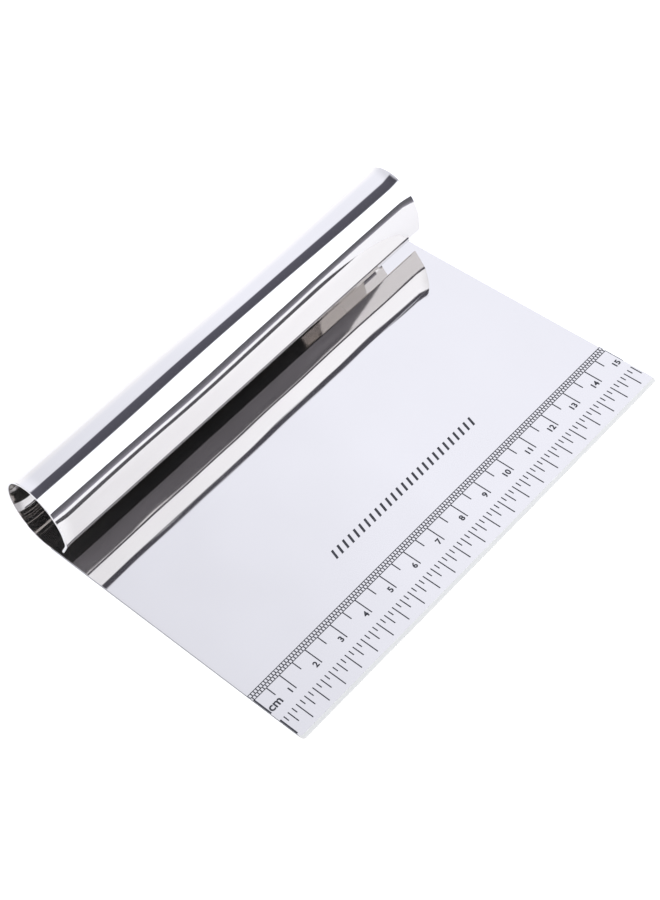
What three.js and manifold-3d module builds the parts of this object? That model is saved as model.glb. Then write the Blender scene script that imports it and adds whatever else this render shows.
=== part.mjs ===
// A bench scraper: one sheet of polished stainless steel whose upper part is rolled forwards into a
// hollow grip, with a centimetre scale printed along the working edge.
// Millimetres. The scraper lies on its back: +X runs along the working edge, +Y towards the grip and
// +Z out of the printed face. The origin is the middle of the footprint, on the surface it lies on.
import * as THREE from "three";
import { mergeVertices } from "three/addons/utils/BufferGeometryUtils.js";
import Module from "manifold-3d";

const wasm = await Module();
wasm.setup();

// Driving dimensions of the sheet
const SHEET_WIDTH = 150;
const SHEET_THICKNESS = 0.8;
const OVERALL_DEPTH = 113;
const CORNER_RADIUS = 1;
const EDGE_THICKNESS = 0.35;
const BEVEL_DEPTH = 1;

// The grip's outer face is an ellipse that leans forwards. Its sheet leaves the blade at the
// ellipse's lowest point, climbs the back and comes down the front.
const GRIP_HALF_DEPTH = 11.8;
const GRIP_HALF_HEIGHT = 14.4;
const GRIP_LEAN = THREE.MathUtils.degToRad(8);
const GRIP_STEPS = 62;

// Low on the front the sheet leaves the ellipse, runs straight and then bends in to a straight lip,
// whose free edge stops just above the blade
const FRONT_END_ANGLE = THREE.MathUtils.degToRad(176);
const FRONT_LENGTH = 2.9;
const LIP_BEND_RADIUS = 5;
const LIP_BEND_ANGLE = THREE.MathUtils.degToRad(27.5);
const LIP_BEND_STEPS = 6;
const LIP_LENGTH = 5.5;

// The printed scale, with heights above the working edge
const PRINT_THICKNESS = 0.05;
const LINE_WIDTH = 0.25;
const RUNG_WIDTH = 0.2;
const BASE_LINE_HEIGHT = 18.4;
const TOP_LINE_HEIGHT = 20.6;
const CENTIMETRE_TICK_END = 12;
const HALF_TICK_END = 15;
const CENTIMETRE = 10;
const SCALE_LENGTH = 150;

// Places that follow from the dimensions
const WORKING_EDGE = -OVERALL_DEPTH / 2;
const LEFT_SIDE = -SHEET_WIDTH / 2;
const GRIP_REACH = Math.hypot(
  GRIP_HALF_DEPTH * Math.cos(GRIP_LEAN),
  GRIP_HALF_HEIGHT * Math.sin(GRIP_LEAN),
);
const GRIP_RISE = Math.hypot(
  GRIP_HALF_DEPTH * Math.sin(GRIP_LEAN),
  GRIP_HALF_HEIGHT * Math.cos(GRIP_LEAN),
);
const GRIP_CENTRE = new THREE.Vector2(OVERALL_DEPTH / 2 - GRIP_REACH, GRIP_RISE);
const LOWEST_ANGLE = Math.atan2(
  -GRIP_HALF_HEIGHT * Math.cos(GRIP_LEAN),
  -GRIP_HALF_DEPTH * Math.sin(GRIP_LEAN),
);
const BLADE_END = ellipsePlace(LOWEST_ANGLE).point.x;

const steel = new THREE.MeshStandardMaterial({ color: 0xd4d5dd, roughness: 0.06, metalness: 1 });
const ink = new THREE.MeshStandardMaterial({ color: 0x26262c, roughness: 0.55, metalness: 0 });

function turned(vector, angle) {
  return vector.clone().rotateAround(new THREE.Vector2(), angle);
}

// A place on the ellipse: its point as (Y, Z), and the unit normal that points into the grip
function ellipsePlace(angle) {
  const point = new THREE.Vector2(
    GRIP_HALF_DEPTH * Math.cos(angle),
    GRIP_HALF_HEIGHT * Math.sin(angle),
  );
  const inwards = new THREE.Vector2(
    -Math.cos(angle) / GRIP_HALF_DEPTH,
    -Math.sin(angle) / GRIP_HALF_HEIGHT,
  );
  return {
    point: turned(point, GRIP_LEAN).add(GRIP_CENTRE),
    inwards: turned(inwards, GRIP_LEAN).normalize(),
  };
}

// The place reached by going straight on from another one
function placeOnwards({ point, inwards }, length) {
  const onwards = turned(inwards, -Math.PI / 2);
  return { point: point.clone().addScaledVector(onwards, length), inwards };
}

// The places round the lip's bend, after the one where it starts
function lipBendPlaces({ point, inwards }) {
  const centre = point.clone().addScaledVector(inwards, LIP_BEND_RADIUS);
  const places = [];
  for (let step = 1; step <= LIP_BEND_STEPS; step++) {
    const facing = turned(inwards, (LIP_BEND_ANGLE * step) / LIP_BEND_STEPS);
    const onBend = centre.clone().addScaledVector(facing, -LIP_BEND_RADIUS);
    places.push({ point: onBend, inwards: facing });
  }
  return places;
}

// The grip's outer face from the blade to the free edge
function gripPlaces() {
  const places = [];
  for (let step = 0; step <= GRIP_STEPS; step++) {
    const angle = THREE.MathUtils.lerp(LOWEST_ANGLE, FRONT_END_ANGLE, step / GRIP_STEPS);
    places.push(ellipsePlace(angle));
  }
  places.push(placeOnwards(places.at(-1), FRONT_LENGTH));
  places.push(...lipBendPlaces(places.at(-1)));
  places.push(placeOnwards(places.at(-1), LIP_LENGTH));
  return places;
}

// A section drawn in (Y, Z) and extruded along the whole width
function alongWidth(section) {
  const geometry = new THREE.ExtrudeGeometry(section, { depth: SHEET_WIDTH, bevelEnabled: false });
  const turn = new THREE.Matrix4().makeBasis(
    new THREE.Vector3(0, 1, 0),
    new THREE.Vector3(0, 0, 1),
    new THREE.Vector3(1, 0, 0),
  );
  return geometry.applyMatrix4(turn).translate(LEFT_SIDE, 0, 0);
}

function toSolid(geometry) {
  const bare = geometry.clone();
  bare.deleteAttribute("normal");
  bare.deleteAttribute("uv");
  const merged = mergeVertices(bare);
  return new wasm.Manifold(
    new wasm.Mesh({
      numProp: 3,
      vertProperties: merged.attributes.position.array,
      triVerts: new Uint32Array(merged.index.array),
    }),
  );
}

function toGeometry(solid) {
  const mesh = solid.getMesh();
  const geometry = new THREE.BufferGeometry();
  geometry.setAttribute("position", new THREE.BufferAttribute(mesh.vertProperties, 3));
  geometry.setIndex(new THREE.BufferAttribute(mesh.triVerts, 1));
  geometry.computeVertexNormals();
  return geometry;
}

// The blade's section: flat, with the front arris of the working edge ground back
function bladeSection() {
  const section = new THREE.Shape();
  section.moveTo(WORKING_EDGE, 0);
  section.lineTo(BLADE_END, 0);
  section.lineTo(BLADE_END, SHEET_THICKNESS);
  section.lineTo(WORKING_EDGE + BEVEL_DEPTH, SHEET_THICKNESS);
  section.lineTo(WORKING_EDGE, EDGE_THICKNESS);
  section.closePath();
  return section;
}

// The blade's outline in plan, with its two working corners eased
function bladeOutline() {
  const outline = new THREE.Shape();
  const right = -LEFT_SIDE;
  const cornerY = WORKING_EDGE + CORNER_RADIUS;
  outline.moveTo(LEFT_SIDE, BLADE_END);
  outline.lineTo(LEFT_SIDE, cornerY);
  outline.absarc(LEFT_SIDE + CORNER_RADIUS, cornerY, CORNER_RADIUS, Math.PI, 1.5 * Math.PI);
  outline.lineTo(right - CORNER_RADIUS, WORKING_EDGE);
  outline.absarc(right - CORNER_RADIUS, cornerY, CORNER_RADIUS, -0.5 * Math.PI, 0);
  outline.lineTo(right, BLADE_END);
  outline.closePath();
  return outline;
}

function bladeGeometry() {
  const plan = new THREE.ExtrudeGeometry(bladeOutline(), {
    depth: 2 * SHEET_THICKNESS,
    bevelEnabled: false,
    curveSegments: 6,
  });
  plan.translate(0, 0, -SHEET_THICKNESS / 2);
  return toGeometry(toSolid(alongWidth(bladeSection())).intersect(toSolid(plan)));
}

// The rolled sheet: out along its outer face from the blade, and back along its inner face
function gripGeometry() {
  const places = gripPlaces();
  const outer = places.map(({ point }) => point);
  const inner = places.map(({ point, inwards }) =>
    point.clone().addScaledVector(inwards, SHEET_THICKNESS),
  );
  return alongWidth(new THREE.Shape([...outer, ...inner.reverse()]));
}

// The left and right sides of a line printed at a place on the scale. An end line stops at the
// sheet's side.
function sides(place, width) {
  const left = Math.max(place - width / 2, 0);
  const right = Math.min(place + width / 2, SCALE_LENGTH);
  return [LEFT_SIDE + left, LEFT_SIDE + right];
}

// A printed comb: one line across the blade, with teeth hanging from it
function printedComb(lineTop, lineBottom, pitch, toothWidth, toothEnd) {
  const comb = new THREE.Shape();
  const bottom = WORKING_EDGE + lineBottom;
  comb.moveTo(LEFT_SIDE, WORKING_EDGE + lineTop);
  for (let place = 0; place <= SCALE_LENGTH; place += pitch) {
    const [left, right] = sides(place, toothWidth);
    const end = WORKING_EDGE + toothEnd(place);
    if (place > 0) comb.lineTo(left, bottom);
    comb.lineTo(left, end);
    comb.lineTo(right, end);
    if (place < SCALE_LENGTH) comb.lineTo(right, bottom);
  }
  comb.lineTo(LEFT_SIDE + SCALE_LENGTH, WORKING_EDGE + lineTop);
  comb.closePath();
  return new THREE.ExtrudeGeometry(comb, { depth: PRINT_THICKNESS, bevelEnabled: false });
}

// The base line and its centimetre and half-centimetre ticks
function centimetreScaleGeometry() {
  return printedComb(
    BASE_LINE_HEIGHT + LINE_WIDTH / 2,
    BASE_LINE_HEIGHT - LINE_WIDTH / 2,
    CENTIMETRE / 2,
    LINE_WIDTH,
    (place) => (place % CENTIMETRE === 0 ? CENTIMETRE_TICK_END : HALF_TICK_END),
  );
}

// The band of millimetres above the base line: a top line, and rungs down to the base line
function millimetreBandGeometry() {
  return printedComb(
    TOP_LINE_HEIGHT + LINE_WIDTH / 2,
    TOP_LINE_HEIGHT - LINE_WIDTH / 2,
    CENTIMETRE / 10,
    RUNG_WIDTH,
    () => BASE_LINE_HEIGHT + LINE_WIDTH / 2,
  );
}

function piece(name, geometry, material) {
  const mesh = new THREE.Mesh(geometry, material);
  mesh.name = name;
  return mesh;
}

const sheet = new THREE.Group();
sheet.add(piece("blade", bladeGeometry(), steel));
sheet.add(piece("rolled_grip", gripGeometry(), steel));

const print = new THREE.Group();
print.position.z = SHEET_THICKNESS;
print.add(piece("centimetre_scale", centimetreScaleGeometry(), ink));
print.add(piece("millimetre_band", millimetreBandGeometry(), ink));

const scraper = new THREE.Group();
scraper.add(sheet, print);

export default scraper;
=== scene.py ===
"""A polished steel bench scraper on a white table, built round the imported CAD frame."""

import math

import bmesh
import bpy
from mathutils import Matrix, Vector, noise


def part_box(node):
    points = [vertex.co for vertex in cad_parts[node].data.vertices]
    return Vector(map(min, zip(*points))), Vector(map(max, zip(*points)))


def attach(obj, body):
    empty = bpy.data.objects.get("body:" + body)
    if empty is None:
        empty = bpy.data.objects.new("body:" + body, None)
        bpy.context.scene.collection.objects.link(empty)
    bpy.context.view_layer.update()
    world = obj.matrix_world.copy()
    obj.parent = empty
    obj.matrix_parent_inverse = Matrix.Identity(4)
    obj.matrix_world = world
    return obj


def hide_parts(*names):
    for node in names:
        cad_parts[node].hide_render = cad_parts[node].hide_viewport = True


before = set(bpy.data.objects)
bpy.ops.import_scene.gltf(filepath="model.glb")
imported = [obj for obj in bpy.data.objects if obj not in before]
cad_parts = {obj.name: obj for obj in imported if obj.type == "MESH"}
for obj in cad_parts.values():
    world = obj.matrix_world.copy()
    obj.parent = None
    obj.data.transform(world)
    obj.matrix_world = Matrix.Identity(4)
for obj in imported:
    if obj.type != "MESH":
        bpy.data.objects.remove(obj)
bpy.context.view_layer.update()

MM = 0.001

# The steel sheet, as the CAD frame has it
BLADE_LOW, BLADE_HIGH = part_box("blade")
GRIP_LOW, GRIP_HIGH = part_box("rolled_grip")
THICKNESS = BLADE_HIGH.z - BLADE_LOW.z
WIDTH = BLADE_HIGH.x - BLADE_LOW.x
EDGE_THICKNESS = 0.35 * MM
BEVEL_DEPTH = 1.0 * MM
CORNER_RADIUS = 1.0 * MM
CORNER_TURNS = (0, 26, 39, 52, 65, 78, 90)
ARRIS = 0.1 * MM
SHARP_ANGLE = math.radians(16)

# The grip's outer face is an ellipse that leans forwards, a little waisted between its flared ends.
# Low on the front it runs straight, and then bends in to a straight lip.
GRIP_HALF_DEPTH = 11.8 * MM
GRIP_HALF_HEIGHT = 14.4 * MM
GRIP_LEAN = math.radians(8)
FRONT_END_ANGLE = math.radians(176)
FRONT_LENGTH = 2.9 * MM
LIP_BEND_RADIUS = 5.0 * MM
LIP_BEND_ANGLE = math.radians(27.5)
LIP_LENGTH = 5.5 * MM
GRIP_STEPS = 150
FRONT_STEPS = 8
LIP_BEND_STEPS = 16
LIP_STEPS = 10
FLAT_STEPS = 60
MIDDLE_STEPS = 60
FLARE_STEPS = 10
WAIST = 0.25 * MM
FLARE_LENGTH = 4.5 * MM
UNEVENNESS = 0.16 * MM
UNEVEN_LENGTH = 45 * MM
UNEVEN_HEIGHT = 9 * MM
UNEVEN_LAYER = 0.5

# The sheet's finishes, in the order of its materials
POLISHED, GROUND, SHEARED = 0, 1, 2

# The printed scale: heights above the working edge, and distances from the left side
PRINT_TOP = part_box("centimetre_scale")[1].z
LINE_WIDTH = 0.32 * MM
RAIL_WIDTH = 0.2 * MM
RUNG_WIDTH = 0.3 * MM
END_TICK_WIDTH = 0.5 * MM
BASE_LINE = 18.4 * MM
MIDDLE_LINE = 19.5 * MM
TOP_LINE = 20.6 * MM
CENTIMETRE_TICK_END = 12.0 * MM
HALF_TICK_END = 15.0 * MM
CENTIMETRE = 10.0 * MM
CENTIMETRES = 15
INCH = 25.4 * MM
TICKS_PER_INCH = 16
INCH_LINE_TOP = 8.7 * MM
QUARTER_TICK_END = 2.45 * MM
EIGHTH_TICK_END = 4.7 * MM
SIXTEENTH_TICK_END = 6.8 * MM
NUMERAL_HEIGHT = 1.9 * MM
NUMERAL_BASE = 12.0 * MM
NUMERAL_GAP = 0.8 * MM
UNIT_HEIGHT = 2.7 * MM
UNIT_RIGHT = 5.2 * MM

# The font's capitals are this much of its size, and its strokes are thickened by the offset
CAPITAL_RATIO = 0.72
STROKE_OFFSET = 0.08 * MM
CURVE_STEPS = 4
WELD_DISTANCE = 1e-7

# The row of slanted strokes across the middle of the blade
BORDER_LEFT = 47.0 * MM
BORDER_SPACING = 2.25 * MM
BORDER_COUNT = 27
BORDER_WIDTH = 0.75 * MM
BORDER_LOW = 31.5 * MM
BORDER_HIGH = 34.6 * MM
BORDER_SLANT = 0.9 * MM

# The stage. The flag is an upright card beyond the working edge, which glows with painted light that only
# reflections see.
TABLE_HALF = 8.0
TABLE_HEIGHT = -0.3 * MM
CURTAIN_SIZE = 8.0
CURTAIN_SEGMENTS = 96
FLAG_Y = -166 * MM
FLAG_LEFT, FLAG_RIGHT = -35 * MM, 200 * MM
FLAG_HEIGHT = 60 * MM

# The camera
AZIMUTH = -37.0
ELEVATION = 51.0
ROLL = -13.0
DISTANCE = 0.55
LENS = 77.5
AIM = Vector((-0.0045, -0.002, 0.008))


def add_object(name, data):
    piece = bpy.data.objects.new(name, data)
    bpy.context.scene.collection.objects.link(piece)
    return piece


def finish_mesh(bm, name):
    mesh = bpy.data.meshes.new(name)
    bmesh.ops.recalc_face_normals(bm, faces=bm.faces)
    bm.to_mesh(mesh)
    bm.free()
    return mesh


# ---------------------------------------------------------------- the steel sheet


def grip_centre():
    reach = math.hypot(GRIP_HALF_DEPTH * math.cos(GRIP_LEAN), GRIP_HALF_HEIGHT * math.sin(GRIP_LEAN))
    rise = math.hypot(GRIP_HALF_DEPTH * math.sin(GRIP_LEAN), GRIP_HALF_HEIGHT * math.cos(GRIP_LEAN))
    return Vector((GRIP_HIGH.y - reach, GRIP_LOW.z + rise))


def grip_point(angle):
    """A point (y, z) of the ellipse, and the unit normal that points into the grip."""
    turn = Matrix.Rotation(GRIP_LEAN, 2)
    point = Vector((GRIP_HALF_DEPTH * math.cos(angle), GRIP_HALF_HEIGHT * math.sin(angle)))
    inward = -Vector((math.cos(angle) / GRIP_HALF_DEPTH, math.sin(angle) / GRIP_HALF_HEIGHT))
    return turn @ point + grip_centre(), turn @ inward.normalized()


def straight_on(point, inward, length, steps):
    """Points along a straight stretch, after the one that it starts from, with their unchanging normal."""
    onwards = Vector((inward.y, -inward.x))
    return [(point + onwards * length * step / steps, inward) for step in range(1, steps + 1)]


def lip_bend(point, inward):
    """Points round the lip's bend, after the one that it starts from, with their normals."""
    centre = point + inward * LIP_BEND_RADIUS
    places = []
    for step in range(1, LIP_BEND_STEPS + 1):
        facing = Matrix.Rotation(LIP_BEND_ANGLE * step / LIP_BEND_STEPS, 2) @ inward
        places.append((centre - facing * LIP_BEND_RADIUS, facing))
    return places


def sheet_path():
    """The sheet's back face from the working edge to the free edge.

    Each row is a point (y, z), the unit normal into the sheet, and how far both faces are eased there.
    """
    lowest = math.atan2(-GRIP_HALF_HEIGHT * math.cos(GRIP_LEAN), -GRIP_HALF_DEPTH * math.sin(GRIP_LEAN))
    flat_start = BLADE_LOW.y + BEVEL_DEPTH
    flat_length = grip_point(lowest)[0].x - flat_start
    up = Vector((0.0, 1.0))
    places = [(Vector((BLADE_LOW.y, BLADE_LOW.z)), up)]
    for step in range(FLAT_STEPS):
        places.append((Vector((flat_start + flat_length * step / FLAT_STEPS, BLADE_LOW.z)), up))
    for step in range(GRIP_STEPS + 1):
        places.append(grip_point(lowest + (FRONT_END_ANGLE - lowest) * step / GRIP_STEPS))
    places += straight_on(*places[-1], FRONT_LENGTH, FRONT_STEPS)
    places += lip_bend(*places[-1])
    places += straight_on(*places[-1], LIP_LENGTH - ARRIS, LIP_STEPS)
    rows = [(*place, 0.0) for place in places]
    return rows + [(*straight_on(*places[-1], ARRIS, 1)[0], ARRIS)]


def sheet_columns():
    """Distances from the left side.

    Each has how far the rounded corner sets the working edge back, and how far both faces are eased.
    """
    near = []
    for degrees in CORNER_TURNS:
        angle = math.radians(degrees)
        near.append((CORNER_RADIUS * (1 - math.cos(angle)), CORNER_RADIUS * (1 - math.sin(angle)), 0.0))
    near[0] = (0.0, CORNER_RADIUS, ARRIS)
    for step in range(1, FLARE_STEPS):
        near.append((CORNER_RADIUS + (FLARE_LENGTH - CORNER_RADIUS) * step / FLARE_STEPS, 0.0, 0.0))
    span = WIDTH - 2 * FLARE_LENGTH
    middle = [(FLARE_LENGTH + span * step / MIDDLE_STEPS, 0.0, 0.0) for step in range(MIDDLE_STEPS + 1)]
    return near + middle + [(WIDTH - across, back, ease) for across, back, ease in reversed(near)]


def hollowing(across, point, along):
    """How far the grip's faces lie inside its plain section: nothing at its two ends or at its foot.

    The rolled sheet is a little waisted between its ends, and its face is slightly uneven.
    """
    from_end = min(across, WIDTH - across)
    flare = max(0.0, 1 - from_end / FLARE_LENGTH) ** 2
    climb = min(1.0, max(0.0, (point.y - BLADE_LOW.z) / GRIP_HALF_HEIGHT))
    place = Vector((across / UNEVEN_LENGTH, along / UNEVEN_HEIGHT, UNEVEN_LAYER))
    uneven = UNEVENNESS * (1 + noise.noise(place))
    return (WAIST + uneven) * (1 - flare) * climb * climb * (3 - 2 * climb)


def steel_sheet():
    rows = sheet_path()
    columns = sheet_columns()
    bm = bmesh.new()
    backs, fronts = [], []
    for across, set_back, side_ease in columns:
        x = BLADE_LOW.x + across
        back, front = [], []
        along = 0.0
        for i, (point, inward, row_ease) in enumerate(rows):
            if i > 0:
                along += (point - rows[i - 1][0]).length
            foot = point + inward * hollowing(across, point, along)
            if i < 2:
                foot = foot + Vector((set_back, 0.0))
            ease = max(side_ease, row_ease)
            depth = EDGE_THICKNESS if i == 0 else THICKNESS
            low, high = foot + inward * ease, foot + inward * (depth - ease)
            back.append(bm.verts.new((x, low.x, low.y)))
            front.append(bm.verts.new((x, high.x, high.y)))
        backs.append(back)
        fronts.append(front)
    last = len(rows) - 1
    for a in range(len(columns) - 1):
        b = a + 1
        for i in range(last):
            bm.faces.new((backs[a][i], backs[a][i + 1], backs[b][i + 1], backs[b][i]))
            front = bm.faces.new((fronts[a][i], fronts[b][i], fronts[b][i + 1], fronts[a][i + 1]))
            front.material_index = GROUND if i == 0 else POLISHED
        for i in (0, last):
            end = bm.faces.new((backs[a][i], backs[b][i], fronts[b][i], fronts[a][i]))
            end.material_index = GROUND if i == 0 else POLISHED
    for a in (0, len(columns) - 1):
        for i in range(last):
            side = bm.faces.new((backs[a][i], fronts[a][i], fronts[a][i + 1], backs[a][i + 1]))
            side.material_index = SHEARED if i < FLAT_STEPS else POLISHED
    mesh = finish_mesh(bm, "steel_sheet")
    mesh.polygons.foreach_set("use_smooth", [True] * len(mesh.polygons))
    mesh.set_sharp_from_angle(angle=SHARP_ANGLE)
    return add_object("steel_sheet", mesh)


# ---------------------------------------------------------------- the printed marks


def add_bar(bm, left, right, low, high, slant=0.0):
    """One printed bar, closed all round: places across from the left side and up from the working edge."""
    x, y = BLADE_LOW.x, BLADE_LOW.y
    low, high = y + low, y + high
    plan = [(x + left, low), (x + right, low), (x + right + slant, high), (x + left + slant, high)]
    under = [bm.verts.new((px, py, BLADE_HIGH.z)) for px, py in plan]
    over = [bm.verts.new((px, py, PRINT_TOP)) for px, py in plan]
    bm.faces.new(under[::-1])
    bm.faces.new(over)
    for i in range(4):
        j = (i + 1) % 4
        bm.faces.new((under[i], under[j], over[j], over[i]))


def add_line(bm, height, width):
    add_bar(bm, 0.0, WIDTH, height - width / 2, height + width / 2)


def add_tick(bm, place, low, high, width=LINE_WIDTH):
    """An upright tick, cut off at the sheet's sides. The first of a row is a broad one."""
    left = max(0.0, place - width / 2)
    right = min(WIDTH, place + width / 2)
    if place == 0.0 and width == LINE_WIDTH:
        right = END_TICK_WIDTH
    add_bar(bm, left, right, low, high)


def centimetre_marks():
    bm = bmesh.new()
    add_line(bm, BASE_LINE, RAIL_WIDTH)
    for i in range(2 * CENTIMETRES + 1):
        end = CENTIMETRE_TICK_END if i % 2 == 0 else HALF_TICK_END
        add_tick(bm, i * CENTIMETRE / 2, end, BASE_LINE - RAIL_WIDTH / 2)
    return add_object("centimetre_marks", finish_mesh(bm, "centimetre_marks"))


def millimetre_marks():
    """Two rows of rungs, the lower row half a millimetre along from the upper one."""
    bm = bmesh.new()
    add_line(bm, TOP_LINE, RAIL_WIDTH)
    add_line(bm, MIDDLE_LINE, RAIL_WIDTH)
    half_rail = RAIL_WIDTH / 2
    millimetres = 10 * CENTIMETRES
    for i in range(millimetres + 1):
        add_tick(bm, i * MM, MIDDLE_LINE + half_rail, TOP_LINE - half_rail, RUNG_WIDTH)
    for i in range(millimetres):
        add_tick(bm, (i + 0.5) * MM, BASE_LINE + half_rail, MIDDLE_LINE - half_rail, RUNG_WIDTH)
    return add_object("millimetre_marks", finish_mesh(bm, "millimetre_marks"))


def inch_marks():
    """Every sixteenth of an inch, with longer ticks at the eighths and quarters."""
    bm = bmesh.new()
    for i in range(int(WIDTH / INCH * TICKS_PER_INCH) + 1):
        end = SIXTEENTH_TICK_END
        if i % 4 == 0:
            end = QUARTER_TICK_END
        elif i % 2 == 0:
            end = EIGHTH_TICK_END
        add_tick(bm, i * INCH / TICKS_PER_INCH, end, INCH_LINE_TOP)
    return add_object("inch_marks", finish_mesh(bm, "inch_marks"))


def lettering(name, text, right, base, height):
    """Printed characters that end at a distance from the left side, made into a closed mesh."""
    curve = bpy.data.curves.new(name, "FONT")
    curve.body = text
    curve.align_x = "RIGHT"
    curve.size = height / CAPITAL_RATIO
    curve.extrude = (PRINT_TOP - BLADE_HIGH.z) / 2
    curve.offset = STROKE_OFFSET
    curve.resolution_u = CURVE_STEPS
    maker = add_object(name + "_curve", curve)
    maker.location = (BLADE_LOW.x + right, BLADE_LOW.y + base, (PRINT_TOP + BLADE_HIGH.z) / 2)
    bpy.context.view_layer.update()
    ready = maker.evaluated_get(bpy.context.evaluated_depsgraph_get())
    mesh = bpy.data.meshes.new_from_object(ready)
    mesh.transform(maker.matrix_world)
    bpy.data.objects.remove(maker)
    bm = bmesh.new()
    bm.from_mesh(mesh)
    bmesh.ops.remove_doubles(bm, verts=bm.verts, dist=WELD_DISTANCE)
    bpy.data.meshes.remove(mesh)
    return add_object(name, finish_mesh(bm, name))


def numerals():
    pieces = []
    for number in range(1, CENTIMETRES + 1):
        right = number * CENTIMETRE - NUMERAL_GAP
        pieces.append(lettering(f"numeral_{number}", str(number), right, NUMERAL_BASE, NUMERAL_HEIGHT))
    pieces.append(lettering("unit_mark", "cm", UNIT_RIGHT, NUMERAL_BASE, UNIT_HEIGHT))
    return pieces


def border_strokes():
    """A plain row of slanted strokes across the middle of the blade."""
    bm = bmesh.new()
    for i in range(BORDER_COUNT):
        left = BORDER_LEFT + i * BORDER_SPACING
        add_bar(bm, left, left + BORDER_WIDTH, BORDER_LOW, BORDER_HIGH, slant=BORDER_SLANT)
    return add_object("border_strokes", finish_mesh(bm, "border_strokes"))


# ---------------------------------------------------------------- materials


class Nodes:
    """Short calls for building one node tree, of a material or of the world."""

    def __init__(self, owner, coordinates="Object"):
        owner.use_nodes = True
        self.tree = owner.node_tree
        self.shader = self.tree.nodes.get("Principled BSDF")
        self.coords = self.tree.nodes.new("ShaderNodeTexCoord").outputs[coordinates]

    def link(self, out, into):
        self.tree.links.new(out, into)

    def noise(self, scale, stretch=(1, 1, 1), turn=0.0, detail=3.0, distortion=0.0):
        place = self.tree.nodes.new("ShaderNodeMapping")
        place.inputs["Scale"].default_value = stretch
        place.inputs["Rotation"].default_value = (0, 0, math.radians(turn))
        cloud = self.tree.nodes.new("ShaderNodeTexNoise")
        cloud.inputs["Scale"].default_value = scale
        cloud.inputs["Detail"].default_value = detail
        cloud.inputs["Distortion"].default_value = distortion
        self.link(self.coords, place.inputs["Vector"])
        self.link(place.outputs[0], cloud.inputs["Vector"])
        return cloud.outputs["Fac"]

    def along(self, axis):
        split = self.tree.nodes.new("ShaderNodeSeparateXYZ")
        self.link(self.coords, split.inputs[0])
        return split.outputs[axis]

    def spread(self, value, low, high, to_low, to_high):
        node = self.tree.nodes.new("ShaderNodeMapRange")
        limits = {"From Min": low, "From Max": high, "To Min": to_low, "To Max": to_high}
        for socket, number in limits.items():
            node.inputs[socket].default_value = number
        self.link(value, node.inputs["Value"])
        return node.outputs["Result"]

    def ramp(self, value, stops):
        """A colour for each value from 0 to 1: stops are (value, (red, green, blue)), lowest first."""
        node = self.tree.nodes.new("ShaderNodeValToRGB")
        self.link(value, node.inputs[0])
        elements = node.color_ramp.elements
        elements.remove(elements[1])
        for i, (place, colour) in enumerate(stops):
            stop = elements[0] if i == 0 else elements.new(place)
            stop.position = place
            stop.color = (*colour, 1)
        return node.outputs[0]

    def math(self, kind, a, b):
        node = self.tree.nodes.new("ShaderNodeMath")
        node.operation = kind
        for i, value in enumerate((a, b)):
            if isinstance(value, (int, float)):
                node.inputs[i].default_value = value
            else:
                self.link(value, node.inputs[i])
        return node.outputs[0]

    def mix(self, factor, a, b):
        node = self.tree.nodes.new("ShaderNodeMix")
        node.data_type = "RGBA"
        for i, colour in ((6, a), (7, b)):
            if isinstance(colour, tuple):
                node.inputs[i].default_value = (*colour, 1)
            else:
                self.link(colour, node.inputs[i])
        self.link(factor, node.inputs[0])
        return node.outputs[2]

    def bump(self, height, distance, after=None):
        node = self.tree.nodes.new("ShaderNodeBump")
        node.inputs["Distance"].default_value = distance
        node.inputs["Strength"].default_value = 1.0
        self.link(height, node.inputs["Height"])
        if after is not None:
            self.link(after, node.inputs["Normal"])
        return node.outputs[0]


def steel():
    """Mirror-polished stainless steel.

    It has a slow unevenness, smudges, hairlines along the sheet, stray scratches, and nicks at the edge.
    """
    material = bpy.data.materials.new("polished_steel")
    n = Nodes(material)
    n.shader.inputs["Metallic"].default_value = 0.975
    clouds = n.noise(28, detail=5)
    n.link(n.mix(clouds, (0.645, 0.62, 0.60), (0.675, 0.65, 0.63)), n.shader.inputs["Base Color"])
    hairlines = n.noise(1.0, stretch=(60, 2600, 2600), detail=2)
    smudges = n.spread(n.noise(45, detail=6, distortion=0.6), 0.45, 0.75, 0.0, 0.03)
    lines = n.spread(hairlines, 0.55, 0.8, 0.0, 0.035)
    rough = n.math("ADD", n.math("ADD", smudges, lines), 0.03)
    scratches = None
    for turn, seed_scale in ((24, 900), (-37, 1100), (71, 1000)):
        streaks = n.noise(1.0, stretch=(18, seed_scale, 18), turn=turn, detail=1)
        thin = n.spread(streaks, 0.74, 0.80, 0.0, 1.0)
        scratches = thin if scratches is None else n.math("MAXIMUM", scratches, thin)
    nicks = n.spread(n.noise(1.0, stretch=(1500, 120, 120), detail=2), 0.62, 0.70, 0.0, 1.0)
    near_edge = n.spread(n.along("Y"), BLADE_LOW.y + 2 * MM, BLADE_LOW.y + 9 * MM, 1.0, 0.0)
    scratches = n.math("MAXIMUM", scratches, n.math("MULTIPLY", nicks, near_edge))
    n.link(n.math("ADD", rough, n.math("MULTIPLY", scratches, 0.08)), n.shader.inputs["Roughness"])
    slow = n.bump(n.noise(26, detail=1), 0.3 * MM)
    fine = n.bump(hairlines, 0.0008 * MM, after=slow)
    n.link(n.bump(scratches, 0.002 * MM, after=fine), n.shader.inputs["Normal"])
    return material


def ground_steel():
    """The working edge's bevel: bare steel with grinding lines along it."""
    material = bpy.data.materials.new("ground_steel")
    n = Nodes(material)
    n.shader.inputs["Metallic"].default_value = 1.0
    lines = n.noise(1.0, stretch=(150, 9000, 9000), detail=3)
    n.link(n.mix(lines, (0.66, 0.64, 0.59), (0.76, 0.74, 0.68)), n.shader.inputs["Base Color"])
    n.link(n.spread(lines, 0.3, 0.7, 0.28, 0.42), n.shader.inputs["Roughness"])
    n.link(n.bump(lines, 0.004 * MM), n.shader.inputs["Normal"])
    return material


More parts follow.
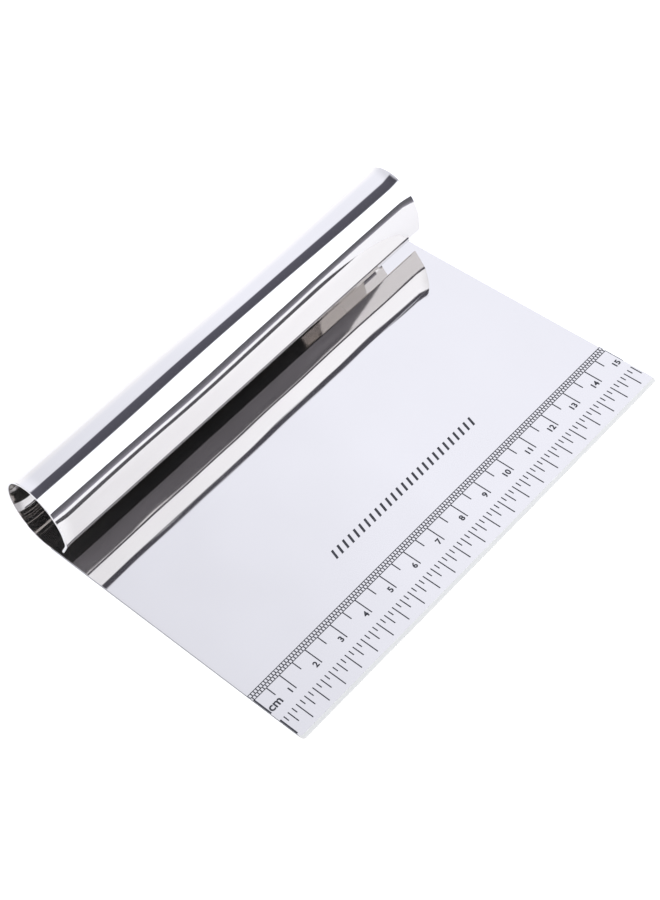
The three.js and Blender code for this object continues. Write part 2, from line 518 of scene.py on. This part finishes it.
def sheared_steel():
    """The sheet's sides, as the shear left them: dull and dark, with a torn grain across the thickness."""
    material = bpy.data.materials.new("sheared_steel")
    n = Nodes(material)
    n.shader.inputs["Metallic"].default_value = 1.0
    grain = n.noise(1.0, stretch=(3000, 5000, 700), detail=4)
    n.link(n.mix(grain, (0.09, 0.09, 0.095), (0.20, 0.20, 0.20)), n.shader.inputs["Base Color"])
    n.link(n.spread(grain, 0.3, 0.7, 0.35, 0.6), n.shader.inputs["Roughness"])
    n.link(n.bump(grain, 0.01 * MM), n.shader.inputs["Normal"])
    return material


def scale_ink():
    """Black print, slightly thin in places."""
    material = bpy.data.materials.new("scale_print")
    n = Nodes(material)
    worn = n.noise(700, detail=4)
    thin = n.spread(worn, 0.5, 0.75, 0, 1)
    n.link(n.mix(thin, (0.02, 0.02, 0.026), (0.06, 0.06, 0.07)), n.shader.inputs["Base Color"])
    n.link(n.spread(worn, 0.3, 0.7, 0.45, 0.7), n.shader.inputs["Roughness"])
    n.link(n.bump(n.noise(2500, detail=2), 0.004 * MM), n.shader.inputs["Normal"])
    return material


# ---------------------------------------------------------------- studio


def table_top():
    bm = bmesh.new()
    half = TABLE_HALF
    corners = [(-half, -half), (half, -half), (half, half), (-half, half)]
    bm.faces.new([bm.verts.new((x, y, TABLE_HEIGHT)) for x, y in corners])
    table = add_object("table_top", finish_mesh(bm, "table_top"))
    material = bpy.data.materials.new("white_table")
    n = Nodes(material)
    grain = n.noise(400, detail=4)
    n.link(n.mix(grain, (0.90, 0.90, 0.90), (0.93, 0.93, 0.93)), n.shader.inputs["Base Color"])
    n.shader.inputs["Roughness"].default_value = 0.9
    n.shader.inputs["Emission Color"].default_value = (1, 1, 1, 1)
    n.shader.inputs["Emission Strength"].default_value = 0.45
    table.data.materials.append(material)


def studio_world():
    """The room round the table, as the steel mirrors it.

    Mostly it is one soft light over a dark skirting. To the right of the table, soft boxes with one dark
    gap between them run across it: they are bands round the X axis, by angle above the front horizon.
    The light grows a little stronger from left to right.
    """
    lilac = (1.30, 1.35, 1.52)
    white = (2.10, 2.22, 2.44)
    bands = [
        (-179, white),
        (68, white),
        (71, (0.10, 0.10, 0.135)),
        (102, (0.12, 0.12, 0.165)),
        (106, lilac),
        (150, lilac),
        (178, (1.50, 1.53, 1.62)),
    ]
    skirting = (0.22, 0.22, 0.25)
    heights = [
        (0.0, (1.0, 1.0, 1.05)),
        (0.03, (0.9, 0.9, 0.95)),
        (0.05, skirting),
        (0.12, (0.30, 0.30, 0.34)),
        (0.20, (1.15, 1.19, 1.32)),
        (1.0, lilac),
    ]
    world = bpy.data.worlds.new("studio")
    bpy.context.scene.world = world
    n = Nodes(world, "Generated")
    across, up = n.along("X"), n.along("Z")
    angle = n.math("ARCTAN2", up, n.math("MULTIPLY", n.along("Y"), -1.0))
    turned = n.spread(angle, -math.pi, math.pi, 0.0, 1.0)
    boxes = n.ramp(turned, [((degrees + 180) / 360, colour) for degrees, colour in bands])
    room = n.ramp(up, heights)
    boxes_start = n.spread(across, 0.10, 0.18, 0.0, 1.0)
    boxes_end = n.spread(across, 0.56, 0.66, 1.0, 0.0)
    background = n.tree.nodes["Background"]
    n.link(n.mix(n.math("MULTIPLY", boxes_start, boxes_end), room, boxes), background.inputs["Color"])
    n.link(n.spread(across, 0.24, 0.40, 0.83, 1.0), background.inputs["Strength"])


def backdrop():
    """A white curtain all round, for the camera alone, so that no view shows an end to the table."""
    bm = bmesh.new()
    bmesh.ops.create_cone(
        bm,
        cap_ends=False,
        segments=CURTAIN_SEGMENTS,
        radius1=CURTAIN_SIZE,
        radius2=CURTAIN_SIZE,
        depth=CURTAIN_SIZE,
    )
    curtain = add_object("backdrop", finish_mesh(bm, "backdrop"))
    curtain.visible_glossy = False
    curtain.visible_diffuse = False
    curtain.visible_shadow = False
    material = bpy.data.materials.new("white_curtain")
    n = Nodes(material)
    n.shader.inputs["Emission Color"].default_value = (1, 1, 1, 1)
    n.shader.inputs["Emission Strength"].default_value = 1.2
    curtain.data.materials.append(material)


def studio_flag():
    """A low card beyond the working edge, which only reflections see. It is no lamp, but it glows with
    painted light, brightest at its foot and darkest at its top, which the steel shows as painted
    reflections of a dark card.
    """
    bm = bmesh.new()
    corners = [(FLAG_LEFT, 0.0), (FLAG_RIGHT, 0.0), (FLAG_RIGHT, FLAG_HEIGHT), (FLAG_LEFT, FLAG_HEIGHT)]
    bm.faces.new([bm.verts.new((x, FLAG_Y, z)) for x, z in corners])
    flag = add_object("studio_flag", finish_mesh(bm, "studio_flag"))
    flag.visible_camera = False
    flag.visible_diffuse = False
    flag.visible_shadow = False
    # The card's emission is painted light, graded from bright at its foot to dark at its top, seen only in
    # reflections.
    material = bpy.data.materials.new("flag_painted_glow")
    n = Nodes(material)
    shades = [(0.0, 0.6), (0.1, 0.42), (0.25, 0.24), (0.5, 0.16), (0.86, 0.13), (0.92, 0.07)]
    rise = n.spread(n.along("Z"), 0.0, FLAG_HEIGHT, 0.0, 1.0)
    stops = [(place, (shade, shade, 1.2 * shade)) for place, shade in shades]
    n.link(n.ramp(rise, stops), n.shader.inputs["Emission Color"])
    n.shader.inputs["Emission Strength"].default_value = 1.0
    n.shader.inputs["Base Color"].default_value = (0, 0, 0, 1)
    n.shader.inputs["Roughness"].default_value = 1.0
    flag.data.materials.append(material)


def place_camera():
    data = bpy.data.cameras.new("camera")
    data.lens = LENS
    camera = add_object("camera", data)
    a, e = math.radians(AZIMUTH), math.radians(ELEVATION)
    back = Vector((math.sin(a) * math.cos(e), -math.cos(a) * math.cos(e), math.sin(e)))
    camera.location = AIM + back * DISTANCE
    turn = (-back).to_track_quat("-Z", "Y").to_matrix() @ Matrix.Rotation(math.radians(ROLL), 3, "Z")
    camera.rotation_mode = "QUATERNION"
    camera.rotation_quaternion = turn.to_quaternion()
    bpy.context.scene.camera = camera


def add_piece(piece, materials, slot, *nodes):
    for material in materials:
        piece.data.materials.append(material)
    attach(piece, "root")
    if nodes:
        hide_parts(*nodes)


bpy.context.scene.view_settings.view_transform = "Standard"
place_camera()
studio_world()
table_top()
backdrop()
studio_flag()

finishes = [steel(), ground_steel(), sheared_steel()]
add_piece(steel_sheet(), finishes, "polished_steel", "blade", "rolled_grip")
ink = [scale_ink()]
add_piece(centimetre_marks(), ink, "scale_print", "centimetre_scale")
add_piece(millimetre_marks(), ink, "scale_print", "millimetre_band")
add_piece(inch_marks(), ink, "scale_print")
add_piece(border_strokes(), ink, "scale_print")
for numeral in numerals():
    add_piece(numeral, ink, "scale_print")
